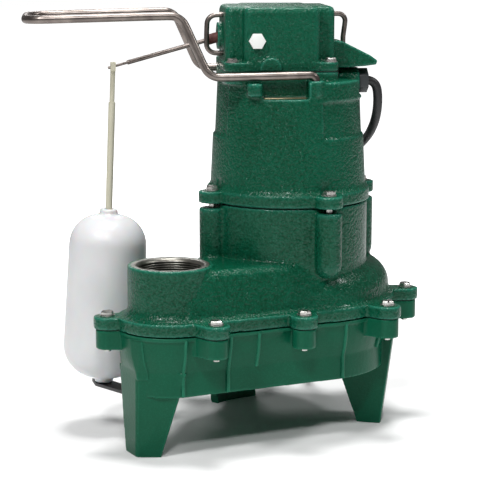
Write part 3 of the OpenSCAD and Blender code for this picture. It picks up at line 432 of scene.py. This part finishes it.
castings = {
    "baseShell": {"node": "base_casting", "body": "pump", "voxel": 1.0, "soften": 2,
                  "slot": "base_paint", "looks": ["basePaint"]},
    "voluteShell": {"node": "volute_casting", "body": "pump", "voxel": 1.4, "soften": 7,
                    "slot": "casting", "looks": ["castingPaint", "rimIron"]},
    "housingShell": {"node": "motor_housing", "body": "pump", "voxel": 1.3, "soften": 6,
                     "slot": "casting", "looks": ["castingPaint"]},
    "capShell": {"node": "switch_cap", "body": "pump", "voxel": 1.0, "soften": 7,
                 "slot": "casting", "looks": ["castingPaint"]},
    "floatShell": {"node": "float_body", "body": "float", "voxel": 1.3, "soften": 10,
                   "slot": "float_plastic", "looks": ["floatPlastic"]},
}
mostTriangles = 150000

# The outlet, in millimetres: its thread's bore is cut deeper, bore and rim are bare
outlet = {"x": -142, "y": -35, "low": 149, "top": 177.9, "r": 28.9, "deep": 1.3, "skin": 1.2, "lip": 4,
          "bareR": 34, "bareFrom": 2, "rimR": 36.5, "rimDown": 0.8}


def widenOutlet(mesh):  # leaves room for the thread's ridges, and marks the bare metal
    o = outlet
    centre = casingPoint(o["x"], o["y"], 0)
    low, high = o["low"] * mm, (o["top"] - o["lip"]) * mm
    for v in mesh.vertices:
        off = Vector((v.co.x - centre.x, v.co.y - centre.y, 0))
        if off.length < (o["r"] + o["skin"]) * mm and low < v.co.z < high:
            v.co += off.normalized() * o["deep"] * mm
    for f in mesh.polygons:
        off = Vector((f.center.x - centre.x, f.center.y - centre.y)).length / mm
        inside = off < o["bareR"] and f.center.z > (o["low"] + o["bareFrom"]) * mm
        rim = off < o["rimR"] and f.center.z > (o["top"] - o["rimDown"]) * mm
        f.material_index = 1 if inside or rim else 0


# The base's bowl, in millimetres. Its plan is two circles (x, y, radius) joined by straight walls.
# Above the crease the wall swells to a belly, with a rim on top. What moves lies between two depths
# inside the plan: "inner" and "outer" say where the move fades out, and over what width
bowl = {"chamber": (9, 16, 105), "lobe": (-142, -35, 50), "crease": 83, "rimFrom": 114, "belly": 3.2,
        "rise": 22, "rim": 4.8, "from": 60, "to": 117.6, "frontFrom": 20, "inner": (15.5, 5),
        "outer": (0.4, 5.6)}
# The left leg's upper end: corners low and high, x and y from the lobe's centre
post = [(-42.3, 20, 76), (-42.3, -17, 76), (-34, -24, 76), (-30, -20, 76), (-34, 20, 76),
        (-46.5, 13, 114), (-46.5, -12, 114), (-39, -25, 114), (-34, -20, 114), (-38, 13, 114)]


def share(x):  # held between nothing and all
    return min(max(x, 0), 1)


def wallDepth(x, y):  # how far outside the casing's plan, and which way is out
    (chamberX, chamberY, chamberR), (lobeX, lobeY, lobeR) = bowl["chamber"], bowl["lobe"]
    found = []
    for cx, cy, r in (bowl["chamber"], bowl["lobe"]):
        off = Vector((x - cx, y - cy))
        found.append((off.length - r, off.normalized()))
    across = Vector((chamberX - lobeX, chamberY - lobeY))
    front = math.atan2(across.y, across.x) - math.acos((lobeR - chamberR) / across.length)
    out = Vector((math.cos(front), math.sin(front)))  # the front wall's straight stretch faces this way
    along = Vector((-out.y, out.x))
    off = Vector((x - lobeX, y - lobeY))
    if out.dot(off) > bowl["frontFrom"] and 0 < along.dot(off) < along.dot(across):
        found.append((out.dot(off) - lobeR, out))
    return min(found, key=lambda f: f[0])


def belly(z):  # how far the wall stands out of the solid's at this height
    return bowl["belly"] * math.sin(share((z - bowl["crease"]) / bowl["rise"]) * math.pi / 2)


def addPost(mesh):  # the left leg goes on up to the flange
    b = bmesh.new()
    b.from_mesh(mesh)
    lobeX, lobeY, _ = bowl["lobe"]
    corners = [b.verts.new(casingPoint(lobeX + x, lobeY + y, z)) for x, y, z in post]
    bmesh.ops.convex_hull(b, input=corners)
    b.to_mesh(mesh)
    b.free()


def fillBowl(mesh):  # moves the wall out to a rounded belly and a rim
    (inner, innerOver), (outer, outerOver) = bowl["inner"], bowl["outer"]
    for v in mesh.vertices:
        x, y, z = (v.co - axisAt) / mm
        if not bowl["from"] < z < bowl["to"]:
            continue
        depth, out = wallDepth(x, y)
        hold = share((depth + inner) / innerOver) * share(-(depth + outer) / outerOver)
        if hold == 0:
            continue
        push = bowl["rim"] if z > bowl["rimFrom"] else belly(z)
        v.co += Vector((out.x, out.y, 0)) * push * hold * mm


def makeCasting(name, c):
    obj = makeObject(name, mergedCopy(c["node"]))
    if name == "baseShell":
        addPost(obj.data)
    remesh = obj.modifiers.new("remesh", "REMESH")
    remesh.mode, remesh.voxel_size = "VOXEL", c["voxel"] * mm
    soften = obj.modifiers.new("soften", "SMOOTH")
    soften.factor, soften.iterations = 0.5, c["soften"]
    evaluated(obj)
    if name == "baseShell":
        fillBowl(obj.data)
    thin = obj.modifiers.new("thin", "DECIMATE")
    thin.ratio = min(mostTriangles / (2 * len(obj.data.polygons)), 1)
    evaluated(obj)
    for f in obj.data.polygons:
        f.use_smooth = True
    dress(obj, c["body"], c["slot"], c["looks"], c["node"])
    if name == "voluteShell":
        widenOutlet(obj.data)
    print(name, sum(len(f.vertices) - 2 for f in obj.data.polygons), "triangles")


for name, c in castings.items():
    makeCasting(name, c)


# Shapes of what repeats or follows a path, with Geometry Nodes

class Shape(Graph):  # a node group whose inputs are the named sizes
    def __init__(self, name, sizes):
        self.tree = bpy.data.node_groups.new(name, "GeometryNodeTree")
        face = self.tree.interface
        face.new_socket("Geometry", in_out="OUTPUT", socket_type="NodeSocketGeometry")
        face.new_socket("Geometry", in_out="INPUT", socket_type="NodeSocketGeometry")
        self.ids = {}
        for key in sizes:
            made = face.new_socket(key, in_out="INPUT", socket_type="NodeSocketFloat")
            self.ids[key] = made.identifier
        given = self.tree.nodes.new("NodeGroupInput")
        self.base = Wire(self, given.outputs["Geometry"])
        self.size = {key: Wire(self, given.outputs[key]) for key in sizes}
        self.sizes = sizes

    def vector(self, x=0.0, y=0.0, z=0.0):
        return self.node("ShaderNodeCombineXYZ", {}, {0: x, 1: y, 2: z})

    def moved(self, geometry, **values):
        return self.node("GeometryNodeTransform", {}, {"Geometry": geometry, **values})

    def cylinder(self, sides, r, depth, middle):
        body = self.node("GeometryNodeMeshCylinder", {},
                         {"Vertices": sides, "Radius": r, "Depth": depth})
        return self.moved(body, Translation=self.vector(z=middle))

    def swept(self, path, sides, r):
        ring = self.node("GeometryNodeCurvePrimitiveCircle", {}, {"Resolution": sides, "Radius": r})
        return self.node("GeometryNodeCurveToMesh", {},
                         {"Curve": path, "Profile Curve": ring, "Fill Caps": True})

    def end(self, geometry, material):
        real = self.node("GeometryNodeRealizeInstances", {}, {"Geometry": geometry})
        done = self.node("GeometryNodeSetMaterial", {},
                         {"Geometry": real, "Material": finish[material]})
        out = self.tree.nodes.new("NodeGroupOutput")
        self.tree.links.new(done.socket, out.inputs[0])

    def apply(self, name, mesh):
        obj = makeObject(name, mesh)
        made = obj.modifiers.new(self.tree.name, "NODES")
        made.node_group = self.tree
        for key, value in self.sizes.items():
            made[self.ids[key]] = value
        return evaluated(obj)


# Ribs down the base's front wall: where they stand and how far down each goes, in millimetres. The
# wall's own depth is "foot" at the crease and leans out by "lean" over "leanHigh" above it

ribs = {"places": {-148.2: 61, -103.2: 61, -74.2: 83, 17.8: 61, 65.8: 83}, "top": 115.5, "steps": 12,
        "Rib Radius": 1.7 * mm, "proud": 0.7, "foot": -9.5, "lean": 3.5, "leanHigh": 35,
        "search": (-20, -120), "halvings": 24}


def ribPath(x, low):  # down the wall's front, in one upright plane
    path = []
    for i in range(ribs["steps"] + 1):
        z = ribs["top"] + (low - ribs["top"]) * i / ribs["steps"]
        lean = ribs["lean"] * max(z - bowl["crease"], 0) / ribs["leanHigh"]
        depth = ribs["foot"] + lean + belly(z) + ribs["proud"]
        inside, outside = ribs["search"]
        for _ in range(ribs["halvings"]):
            y = (inside + outside) / 2
            inside, outside = (y, outside) if wallDepth(x, y)[0] < depth else (inside, y)
        path.append(casingPoint(x, y, z))
    return path


def ribShape():
    g = Shape("baseRibShape", {"Rib Radius": ribs["Rib Radius"]})
    path = g.node("GeometryNodeMeshToCurve", {}, {"Mesh": g.base})
    g.end(g.swept(path, sides=12, r=g.size["Rib Radius"]), "basePaint")
    return g


def makeRibs():
    points, edges = [], []
    for x, low in ribs["places"].items():
        path = ribPath(x, low)
        edges += [(len(points) + i, len(points) + i + 1) for i in range(len(path) - 1)]
        points += path
    mesh = bpy.data.meshes.new("baseRibs")
    mesh.from_pydata(points, edges, [])
    obj = ribShape().apply("baseRibs", mesh)
    smoothShade(obj.data, angle=60)
    dress(obj, "pump", "base_paint", None)


makeRibs()
print("ribs made")


# Bolts

boltLook = {"chamfer": 0.9 * mm, "crown": 0.87, "washer": 0.68, "washerSides": 28, "shankSides": 20}


def boltShape(name, sizes, seed):
    g = Shape(name, sizes)
    s = g.size
    r = s["Across"] / (2 * math.cos(math.pi / 6))
    shoulder = s["Head Height"] - boltLook["chamfer"]
    head = g.cylinder(6, r, shoulder, shoulder / 2)
    cone = g.node("GeometryNodeMeshCone", {},
                  {"Vertices": 6, "Radius Bottom": r, "Radius Top": r * boltLook["crown"],
                   "Depth": boltLook["chamfer"]})
    crown = g.moved(cone, Translation=g.vector(z=shoulder))
    body = g.node("GeometryNodeMeshBoolean", {"operation": "UNION"}, {"Mesh 2": [head, crown]})
    cube = g.node("GeometryNodeMeshCube", {}, {"Size": g.vector(r * 3, s["Slot"], s["Head Height"])})
    groove = g.moved(cube, Translation=g.vector(z=s["Head Height"] * 1.5 - s["Slot"]))
    slotted = g.node("GeometryNodeMeshBoolean", {"operation": "DIFFERENCE"},
                     {"Mesh 1": body, "Mesh 2": groove})
    washer = g.cylinder(boltLook["washerSides"], s["Across"] * boltLook["washer"], s["Washer"],
                        s["Washer"] / 2)
    shank = g.cylinder(boltLook["shankSides"], s["Shank Radius"], s["Length"], s["Length"] / -2)
    one = g.node("GeometryNodeJoinGeometry", {}, {"Geometry": [shank, washer, slotted]})
    angle = g.node("FunctionNodeRandomValue", {"data_type": "FLOAT"},
                   {2: 0.0, 3: 2 * math.pi, "Seed": seed}, 1)
    placed = g.node("GeometryNodeInstanceOnPoints", {},
                    {"Points": g.base, "Instance": one, "Rotation": g.vector(z=angle)})
    g.end(placed, "boltSteel")
    return g


def pointMesh(name, points):
    mesh = bpy.data.meshes.new(name)
    mesh.from_pydata(points, [], [])
    return mesh


def around(cx, cy, r, angles, z):
    turns = [math.radians(a) for a in angles]
    return [casingPoint(cx + r * math.cos(a), cy + r * math.sin(a), z) for a in turns]


hexBolt = {"Across": 10.6 * mm, "Head Height": 4.6 * mm, "Slot": 1.5 * mm, "Washer": 1.1 * mm,
           "Shank Radius": 3.1 * mm}
earTop, motorEarTop, capTop = 130.5, 238.5, 361
bolts = {
    "voluteBoltSet": {"node": "volute_bolts", "seed": 3,
                      "points": around(9, 16, 119, (-110.7, -65, -19.3, 26.3, 72, 117.5, 152), earTop)
                      + around(-142, -35, 59, (159.6,), earTop)
                      + around(-142, -35, 64, (-74.5,), earTop),
                      "sizes": {**hexBolt, "Length": 33.5 * mm}},
    "motorBoltSet": {"node": "motor_bolts", "seed": 8,
                     "points": around(0, 0, 81.8, (0, 90, 180, 270), motorEarTop),
                     "sizes": {**hexBolt, "Length": 31.5 * mm}},
    "capScrewSet": {"node": "cap_screws", "seed": 5,
                    "points": [capPoint(x, y, capTop) for x in (-58.5, 34.5) for y in (-45, 45)],
                    "sizes": {"Across": 9 * mm, "Head Height": 4 * mm, "Slot": 1.4 * mm,
                              "Washer": 0.9 * mm, "Shank Radius": 2.4 * mm, "Length": 16 * mm}},
}
for name, b in bolts.items():
    shape = boltShape(name + "Shape", b["sizes"], b["seed"])
    obj = shape.apply(name, pointMesh(name, b["points"]))
    smoothShade(obj.data, angle=25)
    dress(obj, "pump", "bolt_steel", None, b["node"])
print("bolts made")


# The outlet's thread, one ridge wound up its bore

thread = {"Crest Radius": 28.95 * mm, "Pitch": 2.209 * mm, "Height": 24.0 * mm, "Ridge": 1.35 * mm}
threadAt = casingPoint(outlet["x"], outlet["y"], 150.6)


def threadShape(sizes):
    g = Shape("outletThreadShape", sizes)
    s = g.size
    middle = s["Crest Radius"] + s["Ridge"]
    spiral = g.node("GeometryNodeCurveSpiral", {},
                    {"Resolution": 64, "Rotations": s["Height"] / s["Pitch"], "Start Radius": middle,
                     "End Radius": middle, "Height": s["Height"]})
    g.end(g.moved(g.swept(spiral, sides=4, r=s["Ridge"]), Translation=tuple(threadAt)), "rimIron")
    return g


threadRing = threadShape(thread).apply("outletThread", pointMesh("outletThread", []))
dress(threadRing, "pump", "casting", None)
print("thread cut")


# Rods, float, boot, gland and the inner pieces keep their solids' shapes

copies = {  # node: piece, body, slot, finish, angle up to which the shading is smooth
    "handle": ("handleRod", "pump", "rod", "rodSteel", 40),
    "left_guard": ("leftGuardWire", "pump", "rod", "rodSteel", 40),
    "right_guard": ("rightGuardWire", "pump", "rod", "rodSteel", 40),
    "float_arm": ("armRod", "arm", "rod", "rodSteel", 40),
    "arm_boot": ("armBoot", "arm", "boot_rubber", "bootRubber", 50),
    "float_stem": ("floatStem", "float", "stem_plastic", "stemPlastic", 40),
    "float_guide": ("floatGuide", "pump", "black_plastic", "blackPlastic", 35),
    "vent_plug": ("ventPlug", "pump", "white_plastic", "whitePlastic", 35),
    "cord_gland": ("cordGland", "pump", "gland_plastic", "glandPlastic", 35),
    "rating_plate": ("bareTag", "pump", "tag", "tagMetal", 30),
}


roundedRods = ("handle", "left_guard", "right_guard")
bevelledCopies = ("vent_plug", "cord_gland", "rating_plate")


def rounded(obj):  # turns the rod's long triangles to quads and halves its facets
    b = bmesh.new()
    b.from_mesh(obj.data)
    bmesh.ops.join_triangles(b, faces=b.faces, angle_face_threshold=0.5, angle_shape_threshold=3.1)
    b.to_mesh(obj.data)
    b.free()
    finer = obj.modifiers.new("finer", "SUBSURF")
    finer.levels = finer.render_levels = 1
    evaluated(obj)


for node, (name, body, slotName, look, angle) in copies.items():
    obj = makeObject(name, mergedCopy(node))
    if node in roundedRods:
        rounded(obj)
    if node in bevelledCopies:
        bevelled(obj, width=0.7, segments=2)
    smoothShade(obj.data, angle)
    dress(obj, body, slotName, [look], node)

inner = {  # material slot: finish
    "core_steel": "coreSteel", "copper": "copperWire", "bolt_steel": "boltSteel",
    "gasket": "gasketRubber", "impeller_iron": "impellerIron", "ceramic": "sealCeramic",
    "switch_plastic": "switchPlastic"}
for part in frame["record"]["subparts"]:
    obj = nodes[part["node"]]
    if not obj.hide_render and part["material_slot"] in inner:
        obj.data.materials.clear()
        obj.data.materials.append(finish[inner[part["material_slot"]]])
print("small pieces dressed")


# Floor, world and soft lights

studio = {"floor": (0.86, 0.86, 0.86), "floorHalf": 9, "floorRough": 0.9, "floorShine": 0.1,
          "glow": 1.1, "glowFrom": 0.34, "glowTo": 1.1, "world": 0.06, "mirrored": 0.1,
          "target": (0, 0, 0.2),
          "lamps": {"keyLamp": ((-1.7, -0.9, 2.3), 0.4, 38), "frontLamp": ((-0.9, -1.8, 2.1), 0.3, 23),
                    "fillLamp": ((1.6, -1.0, 2.0), 0.35, 16),
                    "topLamp": ((0.1, 0.1, 2.3), 0.6, 44), "backLamp": ((0.6, 1.8, 1.4), 0.6, 8)}}


def makeFloor(s):  # white, and to the camera it glows away from the pump
    b = bmesh.new()
    bmesh.ops.create_grid(b, x_segments=1, y_segments=1, size=s["floorHalf"])
    mesh = bpy.data.meshes.new("floor")
    b.to_mesh(mesh)
    b.free()
    floor = makeObject("floor", mesh)
    r = Recipe("floorWhite")
    seen = r.node("ShaderNodeLightPath")
    away = r.node("ShaderNodeVectorMath", {"operation": "LENGTH"}, {0: r.place()}, 1)
    glow = ramp(r, away, s["glowFrom"], s["glowTo"]) * s["glow"]
    r.set(Base_Color=(*s["floor"], 1), Roughness=s["floorRough"], Specular_IOR_Level=s["floorShine"],
          Emission_Strength=1)
    r.feed(Emission_Color=r.blend(seen * glow, (0, 0, 0), (1, 1, 1)))
    mesh.materials.append(r.material)


def makeWorld(s):  # white where the camera sees it, dim as a light
    world = bpy.data.worlds.new("studio")
    bpy.context.scene.world = world
    world.use_nodes = True
    w = Graph()
    w.tree = world.node_tree
    w.tree.nodes.clear()
    toCamera, glossy, through = (w.node("ShaderNodeLightPath", out=i) for i in (0, 3, 6))
    seen = w.node("ShaderNodeMath", {"operation": "MINIMUM"}, {0: toCamera + through, 1: 1.0})
    strength = s["world"] + seen * (1 - s["world"]) + glossy * s["mirrored"]
    back = w.node("ShaderNodeBackground", {}, {"Color": (1, 1, 1, 1), "Strength": strength})
    out = w.tree.nodes.new("ShaderNodeOutputWorld")
    w.tree.links.new(back.socket, out.inputs[0])


def makeLamps(s):  # place, width in metres and watts of each
    for name, (at, size, power) in s["lamps"].items():
        data = bpy.data.lights.new(name, "AREA")
        data.shape, data.size, data.energy = "SQUARE", size, power
        lamp = makeObject(name, data)
        lamp.location = at
        lamp.rotation_euler = (Vector(s["target"]) - Vector(at)).to_track_quat("-Z", "Y").to_euler()


makeFloor(studio)
makeWorld(studio)
makeLamps(studio)
bpy.context.scene.view_settings.view_transform = "Standard"
print("studio lit")
